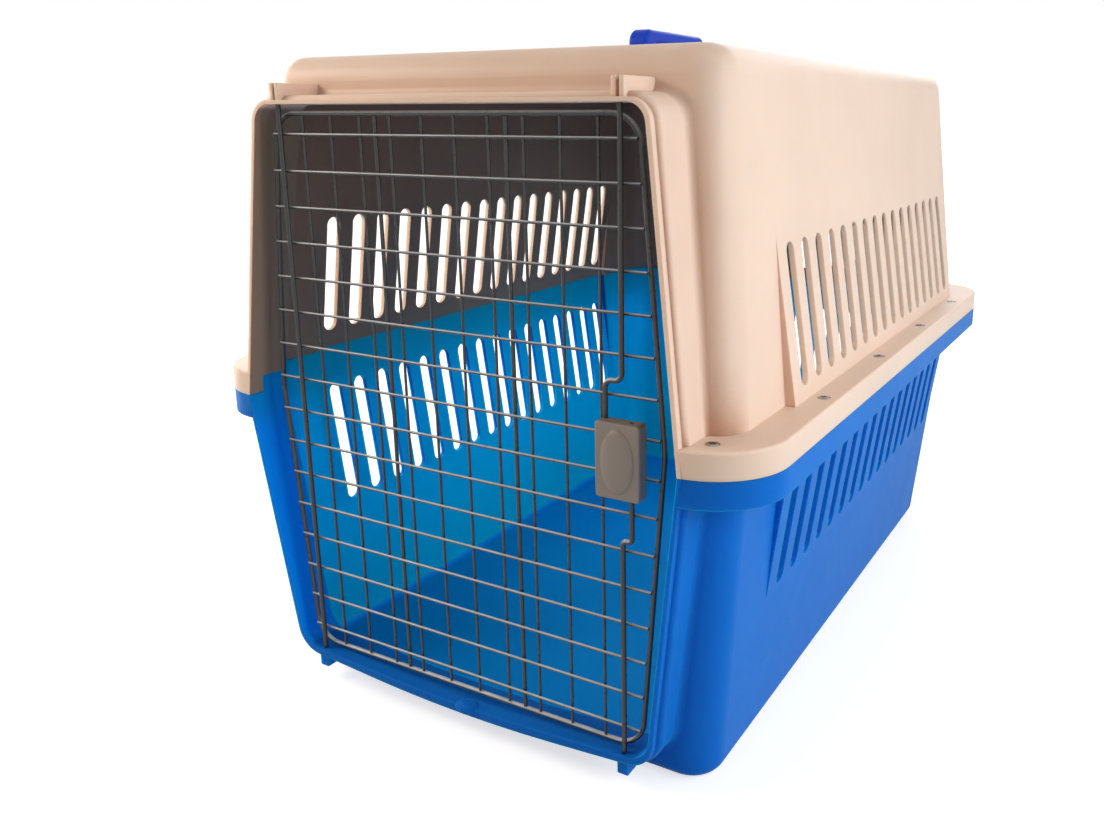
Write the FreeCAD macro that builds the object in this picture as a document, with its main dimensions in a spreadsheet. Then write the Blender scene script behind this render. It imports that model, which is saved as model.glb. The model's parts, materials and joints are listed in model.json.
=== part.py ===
"""Hard-shell pet carrier: two bolted shells, a wire door on a hinge rod and a squeeze latch.

Millimetres. The origin is on the floor under the middle, +Z is up, the door faces -Y and +X is to the
right of someone who looks at the door.
"""
import FreeCAD, Part
import math
import os
import Sketcher

os.makedirs("parts", exist_ok=True)
doc = FreeCAD.newDocument("PetCarrier")
sheet = doc.addObject("Spreadsheet::Sheet", "Sizes")

SIZES = [
    ("wall", "4", "wall of both shells"),
    ("base_half_w", "250.6", "half width of the walls where the ledges meet"),
    ("base_front", "368", "front shoulder where the ledges meet, forward of the middle"),
    ("base_rear", "373", "rear wall where the ledges meet"),
    ("mate_z", "301", "height where the two ledges meet"),
    ("roof_up", "286", "height of the roof over the ledges"),
    ("roof_in_side", "26.6", "how far the sides lean in up to the roof"),
    ("roof_in_front", "22", "how far the front leans in up to the roof"),
    ("roof_in_rear", "43", "how far the rear leans in up to the roof"),
    ("floor_in_side", "21.6", "how far the sides lean in down to the floor"),
    ("floor_in_front", "8", "how far the front leans in down to the floor"),
    ("floor_in_rear", "57", "how far the rear leans in down to the floor"),
    ("corner_r", "30", "upright corners of the shells"),
    ("roof_r", "24", "rounding of the roof edge"),
    ("floor_r", "14", "rounding of the floor edge"),
    ("ledge_up", "6", "thickness of the upper ledge"),
    ("ledge_low", "5", "thickness of the lower ledge"),
    ("ledge_side", "32.4", "how far the ledge stands out at the sides"),
    ("ledge_front", "36.5", "how far the ledge stands out in front"),
    ("ledge_rear", "32", "how far the ledge stands out at the rear"),
    ("skirt_drop", "15.5", "how far the upper skirt hangs below the ledges"),
    ("rim_drop", "37.7", "how far the lower rim hangs below the ledges"),
    ("flange_corner", "62", "corner radius of the ledge outline"),
    ("flange_edge", "2", "rounding of the ledge's top edge"),
    ("skirt", "3.5", "thickness of the skirt and the rim"),
    ("nest_gap", "0.4", "gap between the skirt and the lower ledge inside it"),
    ("open_in", "29.1", "wall beside the door opening at the seam"),
    ("open_top_in", "32", "how much narrower the opening is at its top"),
    ("open_low_in", "31", "how much narrower the opening is at its bottom"),
    ("open_drop", "42", "top of the opening below the roof"),
    ("open_low_z", "35", "bottom of the opening at its corners"),
    ("sill_drop", "10", "how much lower the sill is in the middle"),
    ("sill_r", "1400", "bend of the sill in the middle"),
    ("sill_wall", "5.6", "wall of the lip under the sill"),
    ("sill_bow", "4.4", "how much more the sill's underside drops in the middle"),
    ("open_corner", "16", "upper corners of the door opening"),
    ("open_corner_low", "22", "lower corners of the door opening"),
    ("lip", "3.5", "wall of the thin lip round the opening"),
    ("lip_out", "37", "how far the lip stands in front of the shoulder"),
    ("lip_step", "6", "how far the lip stands in front of the collar"),
    ("collar", "7.5", "wall of the collar round the opening"),
    ("collar_edge", "5", "rounding of the collar's front edge"),
    ("collar_root", "6", "hollow blend where the collar leaves the shoulder"),
    ("seat_deep", "15", "how far the upper collar reaches back over the lower one at the seam"),
    ("lean", "10", "how far the lip is set back at the top and bottom of the opening"),
    ("nub_x", "6.5", "nub on the sill, right of the middle"),
    ("nub_half_w", "12", "half width of the nub"),
    ("nub_high", "6", "height of the nub over the sill"),
    ("nub_deep", "8", "how far the nub runs back along the sill"),
    ("vent_out", "9", "how far the vent panels stand out beside the ledge"),
    ("vent_up", "143", "where the upper vent panels meet the wall, over the ledges"),
    ("vent_down", "171", "where the lower vent panels meet the wall, under the ledges"),
    ("vent_in_front", "100", "front end of the vent panels behind the shoulder"),
    ("vent_in_rear", "67", "rear end of the vent panels before the rear wall"),
    ("vent_wall", "5.2", "wall of the vent panels"),
    ("slot_w", "17", "width of a vent slot"),
    ("slot_count", "16", "vent slots in a side"),
    ("slot_in", "27.5", "first and last slot from the ends of the vent panel"),
    ("slot_up_gap", "18", "lower end of the upper slots over the ledges"),
    ("slot_top_gap", "7", "upper end of the upper slots below the panel's end"),
    ("slot_low_gap", "6", "lower end of the lower slots over the panel's end"),
    ("slot_rim_gap", "2", "upper end of the lower slots below the rim"),
    ("rear_slots", "9", "vent slots in the rear wall"),
    ("rear_slot_in", "90.6", "outer rear slots from the sides"),
    ("screw_in", "13.5", "side screws from the ledge's edge"),
    ("screw_in_front", "138.5", "first side screw behind the shoulder"),
    ("screw_in_rear", "109", "last side screw before the rear wall"),
    ("corner_in_side", "45", "corner screw from the ledge's side"),
    ("corner_in_front", "23", "corner screw from the ledge's front"),
    ("rear_screw_pitch", "110", "spacing of the rear screws"),
    ("rear_screw_in", "16", "rear screws from the ledge's edge"),
    ("screw_r", "2.5", "shank of the ledge screws"),
    ("head_r", "5.5", "head of the ledge screws"),
    ("head_high", "3.2", "height of the screw heads"),
    ("head_sink", "2.5", "depth of the recess for a screw head"),
    ("hole_gap", "0.3", "clearance of screw holes and recesses"),
    ("nut_r", "4.6", "corner radius of the hex nuts"),
    ("nut_high", "4", "height of the nuts"),
    ("tip_over", "2", "screw end below the nut"),
    ("door_back", "19", "plane of the cross wires behind the lip's front"),
    ("fine_r", "1.2", "radius of the fine wires"),
    ("frame_r", "2.1", "radius of the frame wire"),
    ("stiff_r", "1.7", "radius of the stiffener rods"),
    ("rod_r", "2.1", "radius of the hinge and latch rods"),
    ("weld_gap", "0.05", "gap left at welds"),
    ("frame_gap_top", "7.4", "frame wire below the top of the opening"),
    ("frame_gap_low", "3", "frame wire over the corners of the sill"),
    ("frame_gap_side", "10", "frame wire from the sides at top and bottom"),
    ("frame_gap_mid", "21", "frame wire from the sides where it is widest"),
    ("frame_mid_up", "6", "height over the seam where the frame is widest"),
    ("frame_bend", "25", "bends at the frame's corners"),
    ("frame_mid_bend", "60", "bends where the frame is widest"),
    ("cross_count", "16", "cross wires"),
    ("cross_in", "17.3", "lowest and highest cross wire from the frame"),
    ("upright_count", "10", "upright wires"),
    ("upright_in", "21.3", "outer upright wires from the hinge rod and the latch rods"),
    ("rod_in", "21.5", "hinge rod and latch rods from the sides of the opening's top"),
    ("socket_gap", "0.08", "radial clearance of the hinge rod in its sockets"),
    ("bolt_gap", "0.4", "radial clearance of the latch rods in their sockets"),
    ("move_gap", "0.3", "gap between pieces that move past each other"),
    ("socket_up", "14", "depth of the upper sockets"),
    ("socket_low", "11", "depth of the lower sockets"),
    ("boss_w", "10", "width of the socket blocks and feet"),
    ("boss_back", "12", "front of the socket blocks and feet behind the lip's front"),
    ("boss_high", "10", "height of the upper socket blocks"),
    ("boss_slot", "3", "slot in the front of an upper socket block"),
    ("foot_high", "20.5", "height of the lower socket feet"),
    ("foot_top", "22", "depth of a lower socket foot at its top"),
    ("foot_tip", "12", "depth of a lower socket foot at its tip"),
    ("foot_round", "2.5", "rounding of a foot's tip"),
    ("latch_w", "38", "width of the latch cover"),
    ("latch_tall", "60", "height of the latch cover"),
    ("latch_in", "18.5", "left side of the latch cover from the latch rods"),
    ("latch_drop", "44.5", "lower end of the latch cover below the ledges"),
    ("latch_deep", "12", "depth of the latch cover"),
    ("latch_corner", "3", "corners of the latch cover"),
    ("latch_edge", "1.5", "rounding of the latch cover's front edge"),
    ("pad_in_side", "5", "thumb pad from the sides of the cover"),
    ("pad_in_end", "5", "thumb pad from the ends of the cover"),
    ("pad_out", "4", "how far the thumb pad stands out"),
    ("up_rod_in", "4", "upper latch rod from the left side of the cover"),
    ("up_rod_deep", "24", "length of the upper latch rod inside the cover"),
    ("up_crank_up", "29.5", "crank of the upper latch rod over the cover"),
    ("low_rod_in", "11.5", "lower latch rod from the right side of the cover"),
    ("low_crank_down", "37", "crank of the lower latch rod below the cover"),
    ("crank_share", "0.44", "radius of a crank's bends, as a share of its step"),
    ("slide_w", "13.4", "width of the inner slide"),
    ("slide_high", "14", "height of the inner slide"),
    ("slide_up", "20.5", "lower end of the inner slide over the cover's lower end"),
    ("cover_wall", "3", "wall of the latch cover round the slide"),
    ("plate_w", "26", "width of the latch back plate"),
    ("plate_high", "30", "height of the latch back plate"),
    ("plate_thick", "2.5", "thickness of the latch back plate"),
    ("post_in", "13", "post to the back plate from the left side of the cover"),
    ("post_up", "26.5", "height of that post over the cover's lower end"),
    ("post_r", "3.2", "radius of that post"),
    ("plate_screw_r", "1.5", "shank of the back plate's screw"),
    ("plate_screw_long", "10", "length of the back plate's screw"),
    ("spring_r", "2.9", "mean radius of the latch spring"),
    ("spring_wire", "0.5", "radius of the spring wire"),
    ("spring_turns", "7", "turns of the latch spring"),
    ("handle_mid", "2", "middle of the handle, behind the middle of the roof"),
    ("handle_long", "140", "length of the handle"),
    ("handle_w", "22", "width of the handle"),
    ("handle_high", "36", "height of the handle over the roof"),
    ("grip", "14", "thickness of the grip"),
    ("handle_leg", "17", "length of a handle leg"),
    ("handle_round", "14", "outer corners of the handle"),
    ("handle_inside", "7", "inner corners of the handle"),
    ("handle_edge", "4", "rounding of the handle's edges"),
    ("handle_screw_r", "2", "shank of the handle screws"),
    ("handle_screw_in", "13", "length of the handle screws in the legs"),
    ("handle_head_r", "4.5", "head of the handle screws"),
    ("washer_r", "7", "radius of the handle washers"),
    ("washer_thick", "1.2", "thickness of the handle washers"),
]
for row, (alias, number, note) in enumerate(SIZES, start=1):
    sheet.set("A%d" % row, note)
    sheet.set("B%d" % row, number)
    sheet.setAlias("B%d" % row, alias)
doc.recompute()


class Size:
    """A number that remembers the sheet expression it came from."""

    def __init__(self, value, text):
        self.value = value
        self.text = text

    def __add__(self, other):
        other = as_size(other)
        return Size(self.value + other.value, "(%s + %s)" % (self.text, other.text))

    def __radd__(self, other):
        return as_size(other) + self

    def __sub__(self, other):
        other = as_size(other)
        return Size(self.value - other.value, "(%s - %s)" % (self.text, other.text))

    def __rsub__(self, other):
        return as_size(other) - self

    def __mul__(self, other):
        other = as_size(other)
        return Size(self.value * other.value, "(%s * %s)" % (self.text, other.text))

    def __rmul__(self, other):
        return as_size(other) * self

    def __truediv__(self, other):
        other = as_size(other)
        return Size(self.value / other.value, "(%s / %s)" % (self.text, other.text))

    def __neg__(self):
        return Size(-self.value, "(0 - %s)" % self.text)


def as_size(number):
    if isinstance(number, Size):
        return number
    return Size(float(number), repr(float(number)))


class Named:
    """The sheet's cells as attributes."""


D = Named()
for alias, number, note in SIZES:
    setattr(D, alias, Size(float(sheet.get(alias)), "Sizes.%s" % alias))

# Places that follow from the sheet: the shells and their ledge
D.roof_half_w = D.base_half_w - D.roof_in_side
D.floor_half_w = D.base_half_w - D.floor_in_side
D.roof_front = D.base_front - D.roof_in_front
D.floor_front = D.base_front - D.floor_in_front
D.roof_rear = D.base_rear - D.roof_in_rear
D.floor_rear = D.base_rear - D.floor_in_rear
D.roof_z = D.mate_z + D.roof_up
D.seam_z = D.mate_z - D.skirt_drop
D.rim_z = D.mate_z - D.rim_drop
D.flange_half_w = D.base_half_w + D.ledge_side
D.flange_front = D.base_front + D.ledge_front
D.flange_rear = D.base_rear + D.ledge_rear

# The opening and its collar
D.open_half_mid = D.base_half_w - D.open_in
D.open_half_top = D.open_half_mid - D.open_top_in
D.open_half_low = D.open_half_mid - D.open_low_in
D.open_top_z = D.roof_z - D.open_drop
D.lip_front = D.base_front + D.lip_out
D.collar_front = D.lip_front - D.lip_step
D.boss_front = D.lip_front - D.boss_back

# Vent panels, slots and screws
D.vent_front = D.base_front - D.vent_in_front
D.vent_rear = D.base_rear - D.vent_in_rear
D.vent_top_z = D.mate_z + D.vent_up
D.vent_low_z = D.mate_z - D.vent_down
D.slot_first = D.vent_front - D.slot_in
D.slot_pitch = (D.vent_front + D.vent_rear - 2 * D.slot_in) / (D.slot_count - 1)
D.slot_up_low_z = D.mate_z + D.slot_up_gap
D.slot_up_high_z = D.vent_top_z - D.slot_top_gap
D.slot_low_low_z = D.vent_low_z + D.slot_low_gap
D.slot_low_high_z = D.rim_z - D.slot_rim_gap
D.rear_slot_first = D.floor_half_w - D.rear_slot_in
D.rear_slot_pitch = 2 * D.rear_slot_first / (D.rear_slots - 1)
D.screw_x = D.flange_half_w - D.screw_in
D.screw_first = D.base_front - D.screw_in_front
D.screw_pitch = (D.screw_first + D.base_rear - D.screw_in_rear) / 3
D.corner_screw_x = D.flange_half_w - D.corner_in_side
D.corner_screw_y = D.flange_front - D.corner_in_front
D.rear_screw_y = D.flange_rear - D.rear_screw_in

# The door follows the opening
D.door_y = D.lip_front - D.door_back
D.rod_x = D.open_half_top - D.rod_in
D.frame_top_z = D.open_top_z - D.frame_gap_top
D.frame_low_z = D.open_low_z + D.frame_gap_low
D.frame_mid_z = D.seam_z + D.frame_mid_up
D.frame_half_top = D.open_half_top - D.frame_gap_side
D.frame_half_mid = D.open_half_mid - D.frame_gap_mid
D.frame_half_low = D.open_half_low - D.frame_gap_side
D.cross_first_z = D.frame_low_z + D.cross_in
D.cross_pitch = (D.frame_top_z - D.frame_low_z - 2 * D.cross_in) / (D.cross_count - 1)
D.upright_first = D.rod_x - D.upright_in
D.upright_pitch = 2 * D.upright_first / (D.upright_count - 1)
D.stiff_x = 2 * D.upright_pitch

# The latch follows its rods
D.latch_left = D.rod_x - D.latch_in
D.latch_right = D.latch_left + D.latch_w
D.latch_low_z = D.mate_z - D.latch_drop
D.latch_high_z = D.latch_low_z + D.latch_tall
D.pad_half_w = D.latch_w / 2 - D.pad_in_side
D.pad_half_high = D.latch_tall / 2 - D.pad_in_end
D.up_rod_x = D.latch_left + D.up_rod_in
D.low_rod_x = D.latch_right - D.low_rod_in
D.up_crank_z = D.latch_high_z + D.up_crank_up
D.low_crank_z = D.latch_low_z - D.low_crank_down
D.up_crank_r = D.crank_share * (D.rod_x - D.up_rod_x)
D.low_crank_r = D.crank_share * (D.low_rod_x - D.rod_x)
D.slide_low_z = D.latch_low_z + D.slide_up
D.post_x = D.latch_left + D.post_in
D.post_z = D.latch_low_z + D.post_up


def bind(obj, prop, size):
    obj.setExpression(prop, as_size(size).text)


def place(obj, x=None, y=None, z=None):
    for axis, size in (("x", x), ("y", y), ("z", z)):
        if size is not None:
            bind(obj, "Placement.Base.%s" % axis, size)


def new_body(name):
    body = doc.addObject("PartDesign::Body", name)
    body.AllowCompound = True
    return body


def origin_plane(body, role):
    return [f for f in body.Origin.OriginFeatures if f.Role == role][0]


def attach(feature, body, role, offset):
    feature.AttachmentSupport = [(origin_plane(body, role), "")]
    feature.MapMode = "FlatFace"
    bind(feature, "AttachmentOffset.Base.z", offset)


def dimension(sketch, kind, name, size, *ends):
    """A sketch dimension bound to its size, counted from the origin for a coordinate."""
    size = as_size(size)
    if kind == "Radius":
        index = sketch.addConstraint(Sketcher.Constraint("Radius", ends[0], size.value))
    elif size.value == 0.0:
        axis = -2 if kind == "DistanceX" else -1
        sketch.addConstraint(Sketcher.Constraint("PointOnObject", ends[0], ends[1], axis))
        return
    elif size.value < 0.0:
        size = -size
        index = sketch.addConstraint(Sketcher.Constraint(kind, ends[0], ends[1], -1, 1, size.value))
    else:
        index = sketch.addConstraint(Sketcher.Constraint(kind, -1, 1, ends[0], ends[1], size.value))
    sketch.renameConstraint(index, name)
    bind(sketch, "Constraints.%s" % name, size)


def outline(body, name, role, offset, corners, closed=True):
    """Lines with rounded corners; each corner is (across, up, radius or None), anticlockwise if closed."""
    sketch = body.newObject("Sketcher::SketchObject", name)
    attach(sketch, body, role, offset)
    points = [FreeCAD.Vector(as_size(c[0]).value, as_size(c[1]).value, 0) for c in corners]
    count = len(points)
    ends = []
    for i, corner in enumerate(corners):
        here = points[i]
        if len(corner) < 3 or corner[2] is None:
            ends.append((here, here, None))
            continue
        into = (here - points[i - 1]).normalize()
        out = (points[(i + 1) % count] - here).normalize()
        turn = into.getAngle(out)
        radius = as_size(corner[2]).value
        reach = radius * math.tan(turn / 2)
        left = into.cross(out).z > 0
        side = FreeCAD.Vector(-into.y, into.x, 0) * (1 if left else -1)
        start = here - into * reach
        stop = here + out * reach
        centre = start + side * radius
        first, last = (start, stop) if left else (stop, start)
        a = math.atan2(first.y - centre.y, first.x - centre.x)
        b = math.atan2(last.y - centre.y, last.x - centre.x)
        circle = Part.Circle(centre, FreeCAD.Vector(0, 0, 1), radius)
        ends.append((start, stop, (Part.ArcOfCircle(circle, a, b), left)))
    runs = count if closed else count - 1
    lines = []
    for i in range(runs):
        segment = Part.LineSegment(ends[i][1], ends[(i + 1) % count][0])
        lines.append(sketch.addGeometry(segment, False))
    for i, corner in enumerate(corners):
        before = lines[i - 1] if closed or i > 0 else None
        after = lines[i] if i < runs else None
        if ends[i][2] is None:
            if before is not None and after is not None:
                sketch.addConstraint(Sketcher.Constraint("Coincident", before, 2, after, 1))
            mark = (before, 2) if after is None else (after, 1)
        else:
            arc, left = ends[i][2]
            bend = sketch.addGeometry(arc, False)
            head, tail = (1, 2) if left else (2, 1)
            sketch.addConstraint(Sketcher.Constraint("Tangent", before, 2, bend, head))
            sketch.addConstraint(Sketcher.Constraint("Tangent", bend, tail, after, 1))
            dimension(sketch, "Radius", "bend%d" % i, corner[2], bend)
            point = sketch.addGeometry(Part.Point(points[i]), True)
            sketch.addConstraint(Sketcher.Constraint("PointOnObject", point, 1, before))
            sketch.addConstraint(Sketcher.Constraint("PointOnObject", point, 1, after))
            mark = (point, 1)
        dimension(sketch, "DistanceX", "across%d" % i, corner[0], *mark)
        dimension(sketch, "DistanceY", "up%d" % i, corner[1], *mark)
    return sketch


def ring(body, name, role, offset, across, up, radius):
    """A circle."""
    sketch = body.newObject("Sketcher::SketchObject", name)
    attach(sketch, body, role, offset)
    centre = FreeCAD.Vector(as_size(across).value, as_size(up).value, 0)
    circle = Part.Circle(centre, FreeCAD.Vector(0, 0, 1), as_size(radius).value)
    index = sketch.addGeometry(circle, False)
    dimension(sketch, "Radius", "radius", radius, index)
    dimension(sketch, "DistanceX", "across", across, index, 3)
    dimension(sketch, "DistanceY", "up", up, index, 3)
    return sketch


def stadium(body, name, role, offset, across, low, high, width):
    """An upright slot with round ends."""
    sketch = body.newObject("Sketcher::SketchObject", name)
    attach(sketch, body, role, offset)
    radius = width / 2
    x, r = as_size(across).value, radius.value
    z0, z1 = (low + radius).value, (high - radius).value
    up = FreeCAD.Vector(0, 0, 1)
    point = FreeCAD.Vector
    right = sketch.addGeometry(Part.LineSegment(point(x + r, z0, 0), point(x + r, z1, 0)), False)
    top = sketch.addGeometry(Part.ArcOfCircle(Part.Circle(point(x, z1, 0), up, r), 0, math.pi), False)
    left = sketch.addGeometry(Part.LineSegment(point(x - r, z1, 0), point(x - r, z0, 0)), False)
    low_arc = Part.ArcOfCircle(Part.Circle(point(x, z0, 0), up, r), math.pi, 2 * math.pi)
    bottom = sketch.addGeometry(low_arc, False)
    for first, a, second, b in ((right, 2, top, 1), (top, 2, left, 1), (left, 2, bottom, 1), (bottom, 2, right, 1)):
        sketch.addConstraint(Sketcher.Constraint("Tangent", first, a, second, b))
    sketch.addConstraint(Sketcher.Constraint("Vertical", right))
    dimension(sketch, "Radius", "radius", radius, top)
    dimension(sketch, "DistanceX", "across", across, top, 3)
    dimension(sketch, "DistanceY", "high", high - radius, top, 3)
    dimension(sketch, "DistanceY", "low", low + radius, bottom, 3)
    return sketch


def pad(body, sketch, length):
    feature = body.newObject("PartDesign::Pad", "Pad")
    feature.Profile = sketch
    bind(feature, "Length", length)
    body.Tip = feature
    return feature


def round_edges(body, base, radius, wanted):
    """Rounds the edges of base for which wanted(edge) holds."""
    doc.recompute()
    names = ["Edge%d" % (i + 1) for i, edge in enumerate(base.Shape.Edges) if wanted(edge)]
    feature = body.newObject("PartDesign::Fillet", "Fillet")
    feature.Base = (base, names)
    bind(feature, "Radius", radius)
    body.Tip = feature
    return feature


def level(edge, axis, size):
    """True if the whole edge lies in the plane where axis has this size."""
    wanted = as_size(size).value
    lows = edge.BoundBox
    low, high = {"x": (lows.XMin, lows.XMax), "y": (lows.YMin, lows.YMax), "z": (lows.ZMin, lows.ZMax)}[axis]
    return abs(low - wanted) < 0.01 and abs(high - wanted) < 0.01


def section(z, half_w, front, rear):
    return {"z": as_size(z), "half_w": as_size(half_w), "front": as_size(front), "rear": as_size(rear)}


def between(a, b, z):
    """The section at height z of the taper that runs through sections a and b."""
    z = as_size(z)
    share = (z - a["z"]) / (b["z"] - a["z"])
    cut = {key: a[key] + (b[key] - a[key]) * share for key in ("half_w", "front", "rear")}
    return section(z, **cut)


def shrunk(a, by):
    return section(a["z"], a["half_w"] - by, a["front"] - by, a["rear"] - by)


def tapered(name, low, high, corner=None, edge=None, edge_z=None, side=0):
    """A block between two sections, with its upright corners and one level of edges rounded.

    With side it has only the half to the left (-1) or to the right (1) of the middle.
    """
    body = new_body(name)
    block = body.newObject("PartDesign::AdditiveWedge", name + "Block")
    block.AttachmentSupport = [(origin_plane(body, "XZ_Plane"), "")]
    block.MapMode = "FlatFace"
    bind(block, "Ymin", low["z"])
    bind(block, "Ymax", high["z"])
    for prefix, cut in (("", low), ("2", high)):
        bind(block, "X%smin" % prefix, 0 if side > 0 else -cut["half_w"])
        bind(block, "X%smax" % prefix, 0 if side < 0 else cut["half_w"])
        bind(block, "Z%smin" % prefix, -cut["rear"])
        bind(block, "Z%smax" % prefix, cut["front"])
    body.Tip = block
    base = block
    if corner is not None:
        base = round_edges(body, base, corner, lambda e: e.BoundBox.ZLength > 5)
    if edge is not None:
        base = round_edges(body, base, edge, lambda e: level(e, "z", edge_z))
    return body


def box(name, x0, x1, y0, y1, z0, z1):
    obj = doc.addObject("Part::Box", name)
    bind(obj, "Length", x1 - x0)
    bind(obj, "Width", y1 - y0)
    bind(obj, "Height", z1 - z0)
    place(obj, x0, y0, z0)
    return obj


def cylinder(name, x, y, z, radius, length, axis="z"):
    """A cylinder that starts at the point and runs along +Z, +X or +Y."""
    obj = doc.addObject("Part::Cylinder", name)
    bind(obj, "Radius", radius)
    bind(obj, "Height", length)
    turn = {"z": None, "x": ((0, 1, 0), 90), "y": ((1, 0, 0), -90)}[axis]
    if turn is not None:
        rotation = FreeCAD.Rotation(FreeCAD.Vector(*turn[0]), turn[1])
        obj.Placement = FreeCAD.Placement(FreeCAD.Vector(0, 0, 0), rotation)
    place(obj, x, y, z)
    return obj


def fuse(name, shapes):
    obj = doc.addObject("Part::MultiFuse", name)
    obj.Shapes = shapes
    return obj


def cut(name, base, tools):
    obj = doc.addObject("Part::Cut", name)
    obj.Base = base
    obj.Tool = tools[0] if len(tools) == 1 else fuse(name + "Tools", tools)
    return obj


def blended(name, first, second, radius):
    """Two forms as one, with a hollow blend along the edge where they meet over or under the ledges."""
    whole = fuse(name + "Forms", [first, second])
    doc.recompute()
    skins = [part.Shape.Shells[0] for part in (first, second)]

    def meets(edge):
        span = edge.LastParameter - edge.FirstParameter
        tries = [edge.valueAt(edge.FirstParameter + span * share) for share in (0.2, 0.5, 0.8)]
        on_both = all(Part.Vertex(point).distToShape(skin)[0] < 0.001 for point in tries for skin in skins)
        return on_both and not level(edge, "z", D.mate_z)

    blend = doc.addObject("Part::Fillet", name)
    blend.Base = whole
    blend.Edges = [(i, radius.value, radius.value) for i, edge in enumerate(whole.Shape.Edges, start=1) if meets(edge)]
    return blend


def group(name, shapes):
    obj = doc.addObject("Part::Compound", name)
    obj.Links = shapes
    return obj


def copies(name, master, spots, z):
    """One link of master at each spot, grouped."""
    links = []
    for i, (x, y) in enumerate(spots):
        link = doc.addObject("App::Link", "%s%d" % (name, i))
        link.LinkedObject = master
        link.LinkTransform = True
        place(link, x, y, z)
        links.append(link)
    return group(name, links)


# Sections of the shells, from the floor to the roof
floor_cut = section(0, D.floor_half_w, D.floor_front, D.floor_rear)
base_cut = section(D.mate_z, D.base_half_w, D.base_front, D.base_rear)
roof_cut = section(D.roof_z, D.roof_half_w, D.roof_front, D.roof_rear)
ledge_top = D.mate_z + D.ledge_up
over = D.wall


def flange_corners(inset):
    half = D.flange_half_w - inset
    front = D.flange_front - inset
    rear = D.flange_rear - inset
    bend = D.flange_corner - inset
    return [(-half, -front, bend), (half, -front, bend), (half, rear, bend), (-half, rear, bend)]


def flange_block(name, inset, low, high, edge=None):
    body = new_body(name)
    sketch = outline(body, name + "Outline", "XY_Plane", low, flange_corners(inset))
    solid = pad(body, sketch, high - low)
    if edge is not None:
        round_edges(body, solid, edge, lambda e: level(e, "z", high))
    return body


def upper_ring_corners(grow):
    half_mid = D.open_half_mid + grow
    half_top = D.open_half_top + grow
    top = D.open_top_z + grow
    bend = D.open_corner + grow
    return [(-half_mid, D.seam_z), (half_mid, D.seam_z), (half_top, top, bend), (-half_top, top, bend)]


def lower_ring_corners(grow, top, under=as_size(0), bow=as_size(0)):
    """The opening's lower half, wider by grow; under is the wall below the sill, and bow its extra drop."""
    half_low = D.open_half_low + grow
    low = D.open_low_z - under
    bend = D.open_corner_low + grow
    half_mid = D.open_half_mid + grow
    return [
        (-half_low, low, bend),
        (0, low - D.sill_drop - bow, D.sill_r),
        (half_low, low, bend),
        (half_mid, D.seam_z),
        (half_mid, top),
        (-half_mid, top),
        (-half_mid, D.seam_z),
    ]


def front_block(name, corners, back, front, end_z=None, edge=None):
    """A block that runs forward from y = -back to y = -front.

    With end_z its front leans back from the seam to that height, and edge rounds the leaning front.
    """
    body = new_body(name)
    sketch = outline(body, name + "Outline", "XZ_Plane", back, corners)
    if end_z is None:
        pad(body, sketch, front - back)
        return body
    pad(body, sketch, front + D.lean / 5 - back)
    span = end_z - D.seam_z
    near = (-front - D.lean / 5, D.seam_z - span / 5)
    far = (-front + D.lean * 1.2, end_z + span / 5)
    outer_far = (-front - D.lean, far[1])
    outer_near = (-front - D.lean, near[1])
    above = span.value > 0
    corners = [near, far, outer_far, outer_near] if above else [near, outer_near, outer_far, far]
    wedge = outline(body, name + "Lean", "YZ_Plane", D.flange_half_w, corners)
    trim = body.newObject("PartDesign::Pocket", name + "Trim")
    trim.Profile = wedge
    bind(trim, "Length", 2 * D.flange_half_w)
    body.Tip = trim
    slope = D.lean.value / span.value

    def on_front(item):
        ends = [vertex.Point for vertex in item.Vertexes]
        ends.append(item.valueAt((item.FirstParameter + item.LastParameter) / 2))
        fits = [abs(q.y + front.value - slope * (q.z - D.seam_z.value)) < 0.01 for q in ends]
        return all(fits) and not level(item, "z", D.seam_z) and not level(item, "z", D.mate_z)

    if edge is not None:
        round_edges(body, trim, edge, on_front)
    return body


def slot_row(body, sketch, depth, count, pitch):
    """Pads the slot of a sketch and repeats it along the sketch's across direction."""
    slot = pad(body, sketch, depth)
    row = body.newObject("PartDesign::LinearPattern", sketch.Name + "Row")
    row.Originals = [slot]
    row.Direction = (sketch, ["H_Axis"])
    bind(row, "Length", pitch * (count - 1))
    bind(row, "Occurrences", count)
    body.Tip = row
    return body


def side_slots(name, side, low, high, reach):
    """Slots of one side wall; those on the left start one pitch further forward."""
    body = new_body(name)
    first = D.slot_first if side > 0 else D.slot_first + D.slot_pitch
    near = D.roof_half_w - 8 * D.wall
    start = near if side > 0 else -reach
    sketch = stadium(body, name + "Slot", "YZ_Plane", start, -first, low, high, D.slot_w)
    return slot_row(body, sketch, reach - near, D.slot_count, D.slot_pitch)


def rear_slots(name, low, high):
    body = new_body(name)
    reach = D.flange_rear - 3 * D.skirt
    sketch = stadium(body, name + "Slot", "XZ_Plane", -reach, -D.rear_slot_first, low, high, D.slot_w)
    return slot_row(body, sketch, reach - D.floor_rear + 4 * D.wall, D.rear_slots, D.rear_slot_pitch)


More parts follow.
